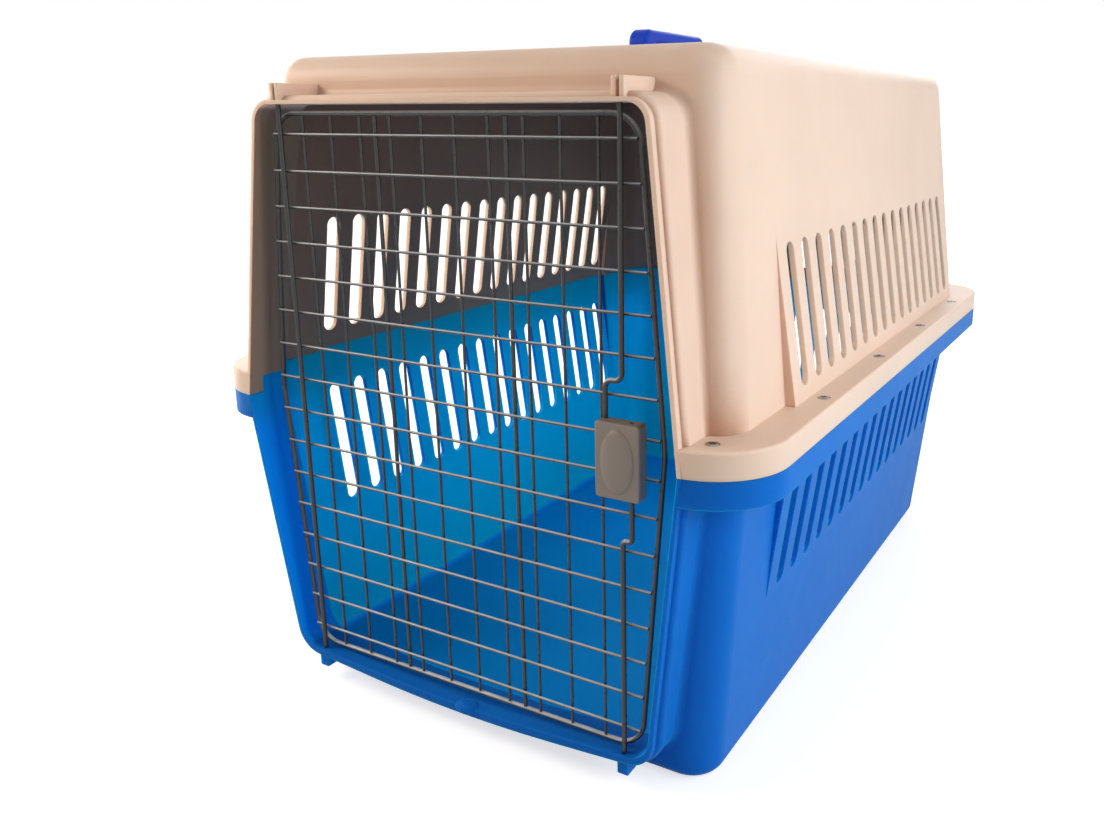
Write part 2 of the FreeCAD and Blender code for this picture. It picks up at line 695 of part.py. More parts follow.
def vent_panels(name, foot_z, foot_half, head_z, head_half, low, high):
    """The raised vent panels of a shell, and the hollows behind them."""
    panels = []
    hollows = []
    for side, label, shift in ((1, "Right", as_size(0)), (-1, "Left", D.slot_pitch)):
        front = D.vent_front + shift
        rear = D.vent_rear - shift
        foot = section(foot_z, foot_half, front, rear)
        head = section(head_z, head_half, front, rear)
        low_cut = between(foot, head, low)
        high_cut = between(foot, head, high)
        panels.append(tapered(name + label, low_cut, high_cut, side=side))
        hollow_low = shrunk(between(foot, head, low - over), D.vent_wall)
        hollow_high = shrunk(between(foot, head, high + over), D.vent_wall)
        hollows.append(tapered(name + label + "Hollow", hollow_low, hollow_high, side=side))
    return panels, hollows


# Screw spots on the ledges
side_rows = [D.screw_pitch * k - D.screw_first for k in range(4)]
rear_rows = [D.rear_screw_pitch * 0.5, D.rear_screw_pitch * 1.5]
spots = []
for sign in (-1, 1):
    spots.append((D.corner_screw_x * sign, -D.corner_screw_y))
    spots.extend((D.screw_x * sign, y) for y in side_rows)
    spots.extend((x * sign, D.rear_screw_y) for x in rear_rows)
screw_hole = cylinder("ScrewHole", 0, 0, -(D.mate_z - D.rim_z), D.screw_r + D.hole_gap, D.mate_z - D.rim_z + 40)
head_hole = cylinder("HeadHole", 0, 0, 0, D.head_r + D.hole_gap, D.head_sink + 5)
shank_holes = copies("ShankHoles", screw_hole, spots, D.mate_z)
head_holes = copies("HeadHoles", head_hole, spots, ledge_top - D.head_sink)

# Rods stand in front of the cross wires
rod_y = D.door_y + D.fine_r + D.weld_gap + D.rod_r
bolt_y = D.door_y + D.fine_r + D.move_gap + D.rod_r
collar_back = D.roof_front - D.wall
open_back = collar_back - 3 * D.wall
open_front = D.lip_front + 2 * D.wall

# Upper shell
upper_outer = tapered("UpperOuter", base_cut, roof_cut, D.corner_r, D.roof_r, D.roof_z)
upper_low_cut = shrunk(between(base_cut, roof_cut, D.mate_z - over), D.wall)
upper_high_cut = shrunk(between(base_cut, roof_cut, D.roof_z - D.wall), D.wall)
upper_inner = tapered("UpperInner", upper_low_cut, upper_high_cut, D.corner_r - D.wall,
                      D.roof_r - D.wall, D.roof_z - D.wall)
wall_at_ledge = between(base_cut, roof_cut, ledge_top)["half_w"]
wall_at_vent = between(base_cut, roof_cut, D.vent_top_z)["half_w"]
upper_vents, upper_vent_hollows = vent_panels(
    "UpperVent", ledge_top, wall_at_ledge + D.vent_out, D.vent_top_z, wall_at_vent,
    D.mate_z, D.vent_top_z + 8 * D.wall)
upper_flange = flange_block("UpperFlange", as_size(0), D.seam_z, ledge_top, D.flange_edge)
upper_hollow = flange_block("UpperHollow", D.skirt, D.seam_z - over, D.mate_z)
upper_collar = front_block("UpperCollar", upper_ring_corners(D.collar), collar_back, D.collar_front,
                           D.open_top_z, D.collar_edge)
upper_lip = front_block("UpperLip", upper_ring_corners(D.lip), collar_back, D.lip_front, D.open_top_z)
seat_half = D.open_half_mid + D.collar
seat_back = D.lip_front - D.seat_deep
collar_seat = box("CollarSeat", -seat_half, seat_half, -D.flange_front, -seat_back, D.seam_z - 2 * over, D.mate_z)
upper_room = cut("UpperRoom", upper_hollow, [collar_seat])
upper_opening = front_block("UpperOpening", upper_ring_corners(as_size(0)), open_back, open_front)
boss_low = D.open_top_z + D.lip / 2
boss_top = D.open_top_z + D.collar + D.boss_high
bosses = []
boss_slots = []
for side, sign in (("Hinge", -1), ("Bolt", 1)):
    middle = D.rod_x * sign
    bosses.append(box(side + "Boss", middle - D.boss_w / 2, middle + D.boss_w / 2, -D.boss_front,
                      -collar_back, boss_low, boss_top))
    boss_slots.append(box(side + "BossSlot", middle - D.boss_slot / 2, middle + D.boss_slot / 2,
                          -D.boss_front - 1, -rod_y, D.open_top_z + D.lip, boss_top + 1))
hinge_top = cylinder("HingeTop", -D.rod_x, -rod_y, D.open_top_z - D.lip, D.rod_r + D.socket_gap,
                     D.lip + D.socket_up)
bolt_top = cylinder("BoltTop", D.rod_x, -bolt_y, D.open_top_z - D.lip, D.rod_r + D.bolt_gap,
                    D.lip + D.socket_up)
upper_right = side_slots("UpperRight", 1, D.slot_up_low_z, D.slot_up_high_z, D.flange_half_w)
upper_left = side_slots("UpperLeft", -1, D.slot_up_low_z, D.slot_up_high_z, D.flange_half_w)
upper_rear = rear_slots("UpperRear", D.slot_up_low_z, D.slot_up_high_z)
handle_foot = (D.handle_long - D.handle_leg) / 2
handle_spots = [(as_size(0), D.handle_mid - handle_foot), (as_size(0), D.handle_mid + handle_foot)]
roof_hole = cylinder("RoofHole", 0, 0, -2 * D.wall, D.handle_screw_r + D.hole_gap, 3 * D.wall)
roof_holes = copies("RoofHoles", roof_hole, handle_spots, D.roof_z)
upper_form = blended("UpperForm", upper_outer, upper_collar, D.collar_root)
upper_mass = fuse("UpperMass", [upper_form, upper_flange, upper_lip] + upper_vents + bosses)
upper_shell = cut("upper_shell", upper_mass, [
    upper_inner, upper_room, upper_opening, upper_right, upper_left, upper_rear, shank_holes,
    head_holes, hinge_top, bolt_top, roof_holes] + upper_vent_hollows + boss_slots)

# Lower shell
lower_outer = tapered("LowerOuter", floor_cut, base_cut, D.corner_r, D.floor_r, 0)
lower_low_cut = shrunk(between(floor_cut, base_cut, D.wall), D.wall)
lower_high_cut = shrunk(between(floor_cut, base_cut, D.mate_z + over), D.wall)
lower_inner = tapered("LowerInner", lower_low_cut, lower_high_cut, D.corner_r - D.wall,
                      D.floor_r - D.wall, D.wall)
wall_at_rim = between(floor_cut, base_cut, D.rim_z)["half_w"]
wall_at_foot = between(floor_cut, base_cut, D.vent_low_z)["half_w"]
lower_vents, lower_vent_hollows = vent_panels(
    "LowerVent", D.rim_z, wall_at_rim + D.vent_out, D.vent_low_z, wall_at_foot,
    D.vent_low_z - 8 * D.wall, D.mate_z)
nest = D.skirt + D.nest_gap
rim_block = flange_block("RimBlock", as_size(0), D.rim_z, D.seam_z - D.nest_gap)
nest_block = flange_block("NestBlock", nest, D.rim_z, D.mate_z)
rim_hollow = flange_block("RimHollow", D.skirt, D.rim_z - over, D.seam_z - D.nest_gap - D.skirt)
nest_hollow = flange_block("NestHollow", nest + D.skirt, D.rim_z - over, D.mate_z - D.ledge_low)
lower_flange = cut("LowerFlange", fuse("LowerFlangeMass", [rim_block, nest_block]), [rim_hollow, nest_hollow])
collar_ring = lower_ring_corners(D.collar, D.mate_z, D.sill_wall + D.lip / 2, D.sill_bow)
lower_collar = front_block("LowerCollar", collar_ring, collar_back, D.collar_front, D.open_low_z, D.collar_edge)
lip_ring = lower_ring_corners(D.lip, D.mate_z, D.sill_wall, D.sill_bow)
lower_lip = front_block("LowerLip", lip_ring, collar_back, D.lip_front, D.open_low_z)
skirt_outer = flange_block("SkirtOuter", -3 * D.skirt, D.seam_z - D.nest_gap, D.mate_z + over)
skirt_inner = flange_block("SkirtInner", nest, D.rim_z, D.mate_z + 2 * over)
skirt_room = cut("SkirtRoom", skirt_outer, [skirt_inner])
seat_room = box("SeatRoom", -seat_half - D.nest_gap, seat_half + D.nest_gap, -D.flange_front,
                -seat_back + D.nest_gap, D.seam_z - D.nest_gap, D.mate_z + over)
lower_opening = front_block("LowerOpening", lower_ring_corners(as_size(0), D.mate_z + over), open_back, open_front)
feet = []
foot_bores = []
foot_low = D.open_low_z - D.foot_high
for side, sign, y, gap in (("Hinge", -1, rod_y, D.socket_gap), ("Bolt", 1, bolt_y, D.bolt_gap)):
    foot = tapered(side + "Foot",
                   section(foot_low, D.boss_w / 2, D.boss_front, -(D.boss_front - D.foot_tip)),
                   section(D.open_low_z, D.boss_w / 2, D.boss_front, -(D.boss_front - D.foot_top)),
                   edge=D.foot_round, edge_z=foot_low)
    place(foot, D.rod_x * sign)
    feet.append(foot)
    foot_bores.append(cylinder(side + "FootBore", D.rod_x * sign, -y, D.open_low_z - D.socket_low,
                               D.rod_r + gap, D.socket_low + 3 * D.lip))
low_reach = D.flange_half_w - 4 * D.skirt
lower_right = side_slots("LowerRight", 1, D.slot_low_low_z, D.slot_low_high_z, low_reach)
lower_left = side_slots("LowerLeft", -1, D.slot_low_low_z, D.slot_low_high_z, low_reach)
lower_rear = rear_slots("LowerRear", D.slot_low_low_z, D.slot_low_high_z)
sill_middle = D.open_low_z - D.sill_drop
nub = doc.addObject("Part::Ellipsoid", "SillNub")
bind(nub, "Radius1", D.nub_high)
bind(nub, "Radius2", D.nub_half_w)
bind(nub, "Radius3", D.nub_deep)
place(nub, D.nub_x, -(D.lip_front - D.lean - D.nub_deep / 2), sill_middle)
lower_form = blended("LowerForm", lower_outer, lower_collar, D.collar_root)
lower_mass = fuse("LowerMass", [lower_form, lower_flange, lower_lip] + lower_vents + feet)
lower_cut = cut("LowerCut", lower_mass, [
    lower_inner, lower_opening, lower_right, lower_left, lower_rear, shank_holes,
    skirt_room, seat_room] + lower_vent_hollows + foot_bores)
lower_shell = fuse("lower_shell", [lower_cut, nub])

# Ledge screws and nuts
grip_low = D.mate_z - D.ledge_low
shank_long = ledge_top - D.head_sink - grip_low + D.nut_high + D.tip_over
screw_head = cylinder("ScrewHead", 0, 0, 0, D.head_r, D.head_high * 0.6)
screw_crown = doc.addObject("Part::Cone", "ScrewCrown")
bind(screw_crown, "Radius1", D.head_r)
bind(screw_crown, "Radius2", D.head_r * 0.68)
bind(screw_crown, "Height", D.head_high * 0.4)
place(screw_crown, z=D.head_high * 0.6)
screw_shank = cylinder("ScrewShank", 0, 0, -shank_long, D.screw_r, shank_long)
screw_whole = fuse("ScrewWhole", [screw_head, screw_crown, screw_shank])
cross_half = D.head_r * 0.58
cross_w = D.head_r * 0.12
cross_low = D.head_high * 0.45
cross_a = box("CrossA", -cross_half, cross_half, -cross_w, cross_w, cross_low, D.head_high + 1)
cross_b = box("CrossB", -cross_w, cross_w, -cross_half, cross_half, cross_low, D.head_high + 1)
screw = cut("LedgeScrew", screw_whole, [cross_a, cross_b])
flange_screws = copies("flange_screws", screw, spots, ledge_top - D.head_sink)
nut_body = doc.addObject("Part::Prism", "NutPrism")
nut_body.Polygon = 6
bind(nut_body, "Circumradius", D.nut_r)
bind(nut_body, "Height", D.nut_high)
nut_bore = cylinder("NutBore", 0, 0, -1, D.screw_r, D.nut_high + 2)
nut = cut("LedgeNut", nut_body, [nut_bore])
flange_nuts = copies("flange_nuts", nut, spots, grip_low - D.nut_high)

# Carry handle with its screws and washers
handle = new_body("HandleBar")
handle_a = D.handle_mid - D.handle_long / 2
handle_b = D.handle_mid + D.handle_long / 2
grip_z = D.roof_z + D.handle_high - D.grip
handle_top = D.roof_z + D.handle_high
handle_sketch = outline(handle, "HandleOutline", "YZ_Plane", -D.handle_w / 2, [
    (handle_a, D.roof_z),
    (handle_a + D.handle_leg, D.roof_z),
    (handle_a + D.handle_leg, grip_z, D.handle_inside),
    (handle_b - D.handle_leg, grip_z, D.handle_inside),
    (handle_b - D.handle_leg, D.roof_z),
    (handle_b, D.roof_z),
    (handle_b, handle_top, D.handle_round),
    (handle_a, handle_top, D.handle_round),
])
handle_pad = pad(handle, handle_sketch, D.handle_w)
round_edges(handle, handle_pad, D.handle_edge,
            lambda e: level(e, "x", D.handle_w / 2) or level(e, "x", -D.handle_w / 2))
leg_hole = cylinder("LegHole", 0, 0, -1, D.handle_screw_r, D.handle_screw_in + 1)
leg_holes = copies("LegHoles", leg_hole, handle_spots, D.roof_z)
carry_handle = cut("carry_handle", handle, [leg_holes])
washer_z = D.roof_z - D.wall - D.washer_thick
washer_disc = cylinder("WasherDisc", 0, 0, 0, D.washer_r, D.washer_thick)
washer_bore = cylinder("WasherBore", 0, 0, -1, D.handle_screw_r + D.hole_gap, D.washer_thick + 2)
washer = cut("HandleWasher", washer_disc, [washer_bore])
handle_washers = copies("handle_washers", washer, handle_spots, washer_z)
handle_head = cylinder("HandleHead", 0, 0, -D.head_high, D.handle_head_r, D.head_high)
handle_shank = cylinder("HandleShank", 0, 0, 0, D.handle_screw_r, D.washer_thick + D.wall + D.handle_screw_in)
handle_screw = fuse("HandleScrew", [handle_head, handle_shank])
handle_screws = copies("handle_screws", handle_screw, handle_spots, washer_z)

# Door: frame wire behind the cross wires
frame_y = D.door_y - D.fine_r - D.weld_gap - D.frame_r
door_loop = new_body("DoorLoop")
frame_path = outline(door_loop, "FramePath", "XZ_Plane", frame_y, [
    (-D.frame_half_low, D.frame_low_z, D.frame_bend),
    (D.frame_half_low, D.frame_low_z, D.frame_bend),
    (D.frame_half_mid, D.frame_mid_z, D.frame_mid_bend),
    (D.frame_half_top, D.frame_top_z, D.frame_bend),
    (-D.frame_half_top, D.frame_top_z, D.frame_bend),
    (-D.frame_half_mid, D.frame_mid_z, D.frame_mid_bend),
])
doc.recompute()
loop = Part.Wire(Part.__sortEdges__(frame_path.Shape.Edges))
start = loop.OrderedEdges[0]
tangent = start.tangentAt(start.FirstParameter)
ring_at = start.valueAt(start.FirstParameter)
frame_ring = Part.Wire([Part.makeCircle(D.frame_r.value, ring_at, tangent)])
door_frame_wire = doc.addObject("Part::Feature", "door_frame_wire")
door_frame_wire.Shape = loop.makePipeShell([frame_ring], True, False)


def frame_half(z):
    """Half width of the frame wire's middle line at a height."""
    if z.value > D.frame_mid_z.value:
        far_z, far_half = D.frame_top_z, D.frame_half_top
    else:
        far_z, far_half = D.frame_low_z, D.frame_half_low
    return D.frame_half_mid + (far_half - D.frame_half_mid) * (z - D.frame_mid_z) / (far_z - D.frame_mid_z)


cross_wires = []
for k in range(int(D.cross_count.value)):
    z = D.cross_first_z + D.cross_pitch * k
    half = frame_half(z) - D.frame_r / 2
    cross_wires.append(cylinder("CrossWire%d" % k, -half, -D.door_y, z, D.fine_r, 2 * half, "x"))
door_cross_wires = group("door_cross_wires", cross_wires)
upright_y = D.door_y - 2 * D.fine_r - D.weld_gap
upright_low = D.frame_low_z + D.frame_r + D.weld_gap
upright_long = D.frame_top_z - D.frame_low_z - 2 * (D.frame_r + D.weld_gap)
upright_wires = []
for k in range(int(D.upright_count.value)):
    x = D.upright_pitch * k - D.upright_first
    upright_wires.append(cylinder("UprightWire%d" % k, x, -upright_y, upright_low, D.fine_r, upright_long))
door_upright_wires = group("door_upright_wires", upright_wires)
stiff_y = D.door_y - D.fine_r - D.weld_gap - D.stiff_r
door_stiffener_left = cylinder("door_stiffener_left", -D.stiff_x, -stiff_y, upright_low, D.stiff_r, upright_long)
door_stiffener_right = cylinder("door_stiffener_right", D.stiff_x, -stiff_y, upright_low, D.stiff_r, upright_long)
hinge_low = D.open_low_z - D.socket_low + D.move_gap
hinge_long = D.open_top_z + D.socket_up - D.move_gap - hinge_low
door_hinge_rod = cylinder("door_hinge_rod", -D.rod_x, -rod_y, hinge_low, D.rod_r, hinge_long)

# Latch rods, drawn back just clear of their sockets
def latch_rod(name, stops, bend):
    body = new_body(name)
    corners = [(stops[0][0], stops[0][1])]
    corners.extend((x, z, bend) for x, z in stops[1:-1])
    corners.append((stops[-1][0], stops[-1][1]))
    path = outline(body, name + "Path", "XZ_Plane", bolt_y, corners, closed=False)
    profile = ring(body, name + "Ring", "XY_Plane", stops[0][1], stops[0][0], -bolt_y, D.rod_r)
    doc.recompute()
    pipe = body.newObject("PartDesign::AdditivePipe", name + "Pipe")
    pipe.Profile = profile
    pipe.Spine = (path, ["Edge%d" % (i + 1) for i in range(len(path.Shape.Edges))])
    body.Tip = pipe
    return body


up_tip = D.open_top_z - D.move_gap
up_end = D.latch_high_z - D.up_rod_deep
latch_upper_rod = latch_rod("latch_upper_rod", [
    (D.rod_x, up_tip), (D.rod_x, D.up_crank_z), (D.up_rod_x, D.up_crank_z), (D.up_rod_x, up_end)], D.up_crank_r)
slide_high_z = D.slide_low_z + D.slide_high
low_tip = D.open_low_z + D.move_gap
latch_lower_rod = latch_rod("latch_lower_rod", [
    (D.low_rod_x, slide_high_z), (D.low_rod_x, D.low_crank_z), (D.rod_x, D.low_crank_z), (D.rod_x, low_tip)],
    D.low_crank_r)

# Latch cover with its thumb pad, grooves for the rods and room for the slide
latch_back = D.door_y + D.fine_r + D.move_gap
latch_front = latch_back + D.latch_deep
cover_body = new_body("CoverBody")
cover_sketch = outline(cover_body, "CoverOutline", "XZ_Plane", latch_back, [
    (D.latch_left, D.latch_low_z, D.latch_corner), (D.latch_right, D.latch_low_z, D.latch_corner),
    (D.latch_right, D.latch_high_z, D.latch_corner), (D.latch_left, D.latch_high_z, D.latch_corner)])
cover_pad = pad(cover_body, cover_sketch, D.latch_deep)
round_edges(cover_body, cover_pad, D.latch_edge, lambda e: level(e, "y", -latch_front))
thumb = doc.addObject("Part::Ellipsoid", "ThumbPad")
bind(thumb, "Radius1", D.pad_half_high)
bind(thumb, "Radius2", D.pad_half_w)
bind(thumb, "Radius3", D.pad_out)
place(thumb, (D.latch_left + D.latch_right) / 2, -latch_front, (D.latch_low_z + D.latch_high_z) / 2)
plate_front = D.door_y - D.fine_r - D.move_gap
post = cylinder("Post", D.post_x, -latch_back - D.cover_wall, D.post_z, D.post_r,
                latch_back - plate_front + D.cover_wall, "y")
room_half = D.slide_w / 2 + D.move_gap
room_top = D.latch_high_z - D.cover_wall
room = box("SlideRoom", D.low_rod_x - room_half, D.low_rod_x + room_half, -latch_front + D.cover_wall,
           -latch_back + 1, D.latch_low_z - 1, room_top)
up_groove = cylinder("UpGroove", D.up_rod_x, -bolt_y, up_end, D.rod_r, D.up_rod_deep + 1)
up_slit = box("UpSlit", D.up_rod_x - D.rod_r, D.up_rod_x + D.rod_r, -bolt_y, -latch_back + 1, up_end,
              D.latch_high_z + 1)
spring_y = bolt_y + D.rod_r
vent_pin = cylinder("CoverHole", D.low_rod_x + D.rod_r, -spring_y, room_top - 1, D.rod_r, D.cover_wall + 2)
plate_hole = cylinder("PlateHole", D.post_x, -plate_front - D.plate_screw_long + D.plate_thick, D.post_z,
                      D.plate_screw_r, D.plate_screw_long, "y")
cover_mass = fuse("CoverMass", [cover_body, thumb, post])
latch_cover = cut("latch_cover", cover_mass, [room, up_groove, up_slit, vent_pin, plate_hole])

# Back plate behind the mesh and its screw
plate_mid = D.post_x
plate_block = box("PlateBlock", plate_mid - D.plate_w / 2, plate_mid + D.plate_w / 2, -plate_front,
                  -plate_front + D.plate_thick, D.post_z - D.plate_high / 2, D.post_z + D.plate_high / 2)
latch_back_plate = cut("latch_back_plate", plate_block, [plate_hole])
plate_head = cylinder("PlateHead", D.post_x, -plate_front + D.plate_thick, D.post_z, 2 * D.plate_screw_r,
                      1.2 * D.plate_screw_r, "y")
plate_shank = cylinder("PlateShank", D.post_x, -plate_front - D.plate_screw_long + D.plate_thick, D.post_z,
                       D.plate_screw_r, D.plate_screw_long, "y")
latch_plate_screw = fuse("latch_plate_screw", [plate_head, plate_shank])

# Inner slide, grooved for the lower rod
slide_back = bolt_y - D.rod_r / 2
slide_block = box("SlideBlock", D.low_rod_x - D.slide_w / 2, D.low_rod_x + D.slide_w / 2,
                  -latch_front + D.cover_wall + D.move_gap, -slide_back, D.slide_low_z, slide_high_z)
slide_groove = cylinder("SlideGroove", D.low_rod_x, -bolt_y, D.slide_low_z - 1, D.rod_r, D.slide_high + 2)
slide_slit = box("SlideSlit", D.low_rod_x - D.rod_r, D.low_rod_x + D.rod_r, -bolt_y, -slide_back + 1,
                 D.slide_low_z - 1, slide_high_z + 1)
latch_slide = cut("latch_slide", slide_block, [slide_groove, slide_slit])

# Latch spring: quarter turns of a helix, each drawn as two arcs that meet smoothly
doc.recompute()
quarters = 4 * int(D.spring_turns.value)
spring_low = slide_high_z.value + D.spring_wire.value + D.weld_gap.value
spring_high = room_top.value - D.spring_wire.value - D.weld_gap.value
rise = (spring_high - spring_low) / quarters
coil_mid = FreeCAD.Vector(D.low_rod_x.value, -spring_y.value, 0)


def coil_point(quarter):
    angle = quarter * math.pi / 2
    across = FreeCAD.Vector(math.cos(angle), math.sin(angle), 0) * D.spring_r.value
    return coil_mid + across + FreeCAD.Vector(0, 0, spring_low + rise * quarter)


def coil_way(quarter):
    angle = quarter * math.pi / 2
    way = FreeCAD.Vector(-math.sin(angle), math.cos(angle), 0) * D.spring_r.value * math.pi / 2
    return (way + FreeCAD.Vector(0, 0, rise)).normalize()


def tangent_arc(a, corner, b):
    """The arc from a to b whose end tangents meet at corner."""
    middle = (a + b) / 2
    cosine = (a - middle).Length / (a - corner).Length
    return Part.Arc(a, middle + (corner - middle) * (cosine / (1 + cosine)), b).toShape()


coil_edges = []
for quarter in range(quarters):
    a, b = coil_point(quarter), coil_point(quarter + 1)
    way_a, way_b = coil_way(quarter), coil_way(quarter + 1)
    chord = b - a
    square = 2 * (1 - way_a.dot(way_b))
    linear = 2 * chord.dot(way_a + way_b)
    reach = (math.sqrt(linear ** 2 + 4 * square * chord.dot(chord)) - linear) / (2 * square)
    corner_a, corner_b = a + way_a * reach, b - way_b * reach
    joint = (corner_a + corner_b) / 2
    coil_edges.append(tangent_arc(a, corner_a, joint))
    coil_edges.append(tangent_arc(joint, corner_b, b))
coil_ring = Part.Wire([Part.makeCircle(D.spring_wire.value, coil_point(0), coil_way(0))])
latch_spring = doc.addObject("Part::Feature", "latch_spring")
latch_spring.Shape = Part.Wire(coil_edges).makePipeShell([coil_ring], True, False)
line = [coil_point(k / 8) for k in range(8 * quarters + 1)]
coil_gap = min((p - q).Length for i, p in enumerate(line) for q in line[i + 16:]) - 2 * D.spring_wire.value
print("latch spring: least gap to itself %.2f mm" % coil_gap)

NODES = [
    upper_shell, lower_shell, flange_screws, flange_nuts, carry_handle, handle_screws, handle_washers,
    door_frame_wire, door_cross_wires, door_upright_wires, door_stiffener_left, door_stiffener_right,
    door_hinge_rod, latch_cover, latch_upper_rod, latch_back_plate, latch_plate_screw, latch_slide, latch_lower_rod,
    latch_spring,
]
doc.recompute()
failed = [o.Name for o in doc.Objects if "Invalid" in o.State or "Error" in o.State]
if failed:
    raise RuntimeError("objects that failed: %s" % ", ".join(failed))
for node in NODES:
    node.Label = node.Name
    if node.Shape.isNull() or not node.Shape.isValid() or not node.Shape.Solids:
        raise RuntimeError("bad shape: %s" % node.Name)
for node in NODES:
    node.Shape.exportStep("parts/%s.step" % node.Label)
    edges = node.Shape.BoundBox
    print("%-22s solids %3d  x %.1f..%.1f  y %.1f..%.1f  z %.1f..%.1f" % (
        node.Label, len(node.Shape.Solids), edges.XMin, edges.XMax, edges.YMin, edges.YMax, edges.ZMin, edges.ZMax))
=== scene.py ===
"""Dresses the pet carrier: camera, studio and a material for every piece. Metres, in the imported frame."""
import json
import math

import bpy
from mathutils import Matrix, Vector

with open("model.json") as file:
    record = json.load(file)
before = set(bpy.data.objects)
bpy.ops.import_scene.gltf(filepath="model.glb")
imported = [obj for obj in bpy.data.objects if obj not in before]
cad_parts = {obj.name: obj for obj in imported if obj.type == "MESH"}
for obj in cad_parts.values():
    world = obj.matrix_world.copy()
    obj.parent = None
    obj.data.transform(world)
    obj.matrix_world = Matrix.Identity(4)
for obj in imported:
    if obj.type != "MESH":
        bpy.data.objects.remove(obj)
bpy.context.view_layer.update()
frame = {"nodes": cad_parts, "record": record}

# The shells' outline at the seam, and at the roof and the floor, towards which the walls lean in
SEAM_Z = 0.301
SEAM = {"half": 0.2506, "front": 0.368, "rear": 0.373}
ROOF = {"half": 0.2240, "front": 0.346, "rear": 0.330, "z": 0.587}
GROUND = {"half": 0.2290, "front": 0.360, "rear": 0.316, "z": 0.0}
WALL = 0.004

# Where one tone gives way to another: both ends of each change, as a place or as a part of the normal
HALF_WALL = (-0.0005, 0.0005)
LOOKS_TO_MIDDLE = (-0.02, 0.0)
LOOKS_INWARD = (-0.7, -0.4)
DOOR_TOP_Z = (0.545, 0.547)
SLOT_ENDS_Y = (0.262, 0.266)
SLOT_DEPTH_X = (0.21, 0.22)
SLOT_WALL_LOOK = (0.6, 0.9)
HOLLOW_OPENNESS = (0.58, 0.97)
HOLLOW_LOOK = (-0.6, -0.1)
HOLLOW_Y = (-0.30, -0.25)
HOLLOW_Z = (0.47, 0.57)
LIP_Y = (-0.36, -0.33)
LOW_WALL_Z = (0.03, 0.20)
FLOOR_LOOK = (0.6, 0.9)
HIGHLIGHT_LOOK = (0.0, 0.7)
FLOOR_GLOW_FROM = (0.7, 2.0)

HOLLOW_REACH = 0.06
HOLLOW_AT_ROOF = 0.25
EDGE_RADIUS = 0.0012

# Noise, in cycles per metre
CLOUDS, CABIN_CLOUDS, FLOOR_CLOUDS = 9.0, 6.0, 3.0
WAVES, FINISH, GRAIN = 11.0, 45.0, 1500.0
WIRE_HIGHLIGHT_PATCHES, WIRE_FINISH, WIRE_GRAIN = 60.0, 240.0, 900.0
SCREW_TARNISH, SPRING_TARNISH, METAL_GRAIN = 220.0, 400.0, 2400.0

# The photograph's camera: its size and principal point in pixels, its focal length, place and angles
PHOTO_WIDE, PHOTO_HIGH = 1104, 828
FOCAL_PIXELS = 967.9
AXIS_PIXEL = (650.6, 356.6)
CAMERA_PLACE = (0.5156, -0.9806, 0.5352)
CAMERA_AZIMUTH, CAMERA_PITCH = 28.70, 13.94
SENSOR = 36.0

# Colours as linear light
CREAM = (0.80, 0.600, 0.475)
# Painted shade: the cream of the cabin's inner faces, darker than the cream itself
CREAM_CABIN_SHADE = (0.32, 0.228, 0.165)
# Painted shade: a darker, warmer cream for the hollow beside the collar
CREAM_HOLLOW_SHADE = (0.46, 0.240, 0.145)
# Painted light: a brighter cream for the walls of the side slots
CREAM_SLOT_LIGHT = (0.98, 0.700, 0.550)
BLUE = (0.006, 0.150, 0.560)
# Painted light: the cabin walls' blue, brighter than the outer blue
BLUE_CABIN_LIGHT = (0.002, 0.510, 0.800)
# Painted light on the cabin walls near the floor, dimmer than higher up
BLUE_LOW_CABIN_LIGHT = (0.002, 0.470, 0.600)
# Painted light: the blue of the cabin's floor and lip
BLUE_FLOOR_LIGHT = (0.003, 0.310, 0.880)
HANDLE_BLUE = (0.012, 0.058, 0.560)
TAUPE = (0.240, 0.200, 0.172)
WIRE = (0.032, 0.032, 0.033)
# Painted highlight: the pale top of the wire, in patches
WIRE_TOP_HIGHLIGHT = (0.640, 0.680, 0.700)
STEEL = (0.40, 0.36, 0.32)
SPRING = (0.50, 0.50, 0.50)
FLOOR = (0.60, 0.60, 0.60)
WHITE = (1.0, 1.0, 1.0)

# Light: the even part from all round, the floor's own, near and far, and the lamps
WARM, COOL, AMBIENT = (1.0, 0.87, 0.76), (0.95, 1.0, 1.06), (1.0, 0.94, 0.88)
AMBIENT_LEVEL = 0.32
FLOOR_GLOW = (0.66, 1.0)
LAMPS = [  # name, place, target, size, watts, colour
    ("RightKey", (1.6, 0.0, 1.05), (0.0, 0.0, 0.35), (1.0, 1.0), 11.5, COOL),
    ("RightFront", (1.05, -0.52, 0.50), (0.25, 0.05, 0.40), (0.25, 0.6), 3.2, COOL),
    ("FrontLeft", (-1.15, -1.05, 1.2), (0.0, -0.3, 0.35), (0.9, 0.5), 15.0, WARM),
    ("LeftSide", (-2.0, 0.2, 0.6), (0.0, 0.0, 0.3), (1.4, 1.2), 30.0, COOL),
    ("BackFill", (-0.3, 2.2, 1.3), (0.0, 0.3, 0.3), (1.4, 0.8), 16.0, COOL),
    ("CabinFill", (0.0, 0.0, 0.33), (0.0, 0.0, 0.0), (0.1, 0.5), 0.24, COOL),
]


def shade(colour, by):
    return tuple(channel * by for channel in colour)


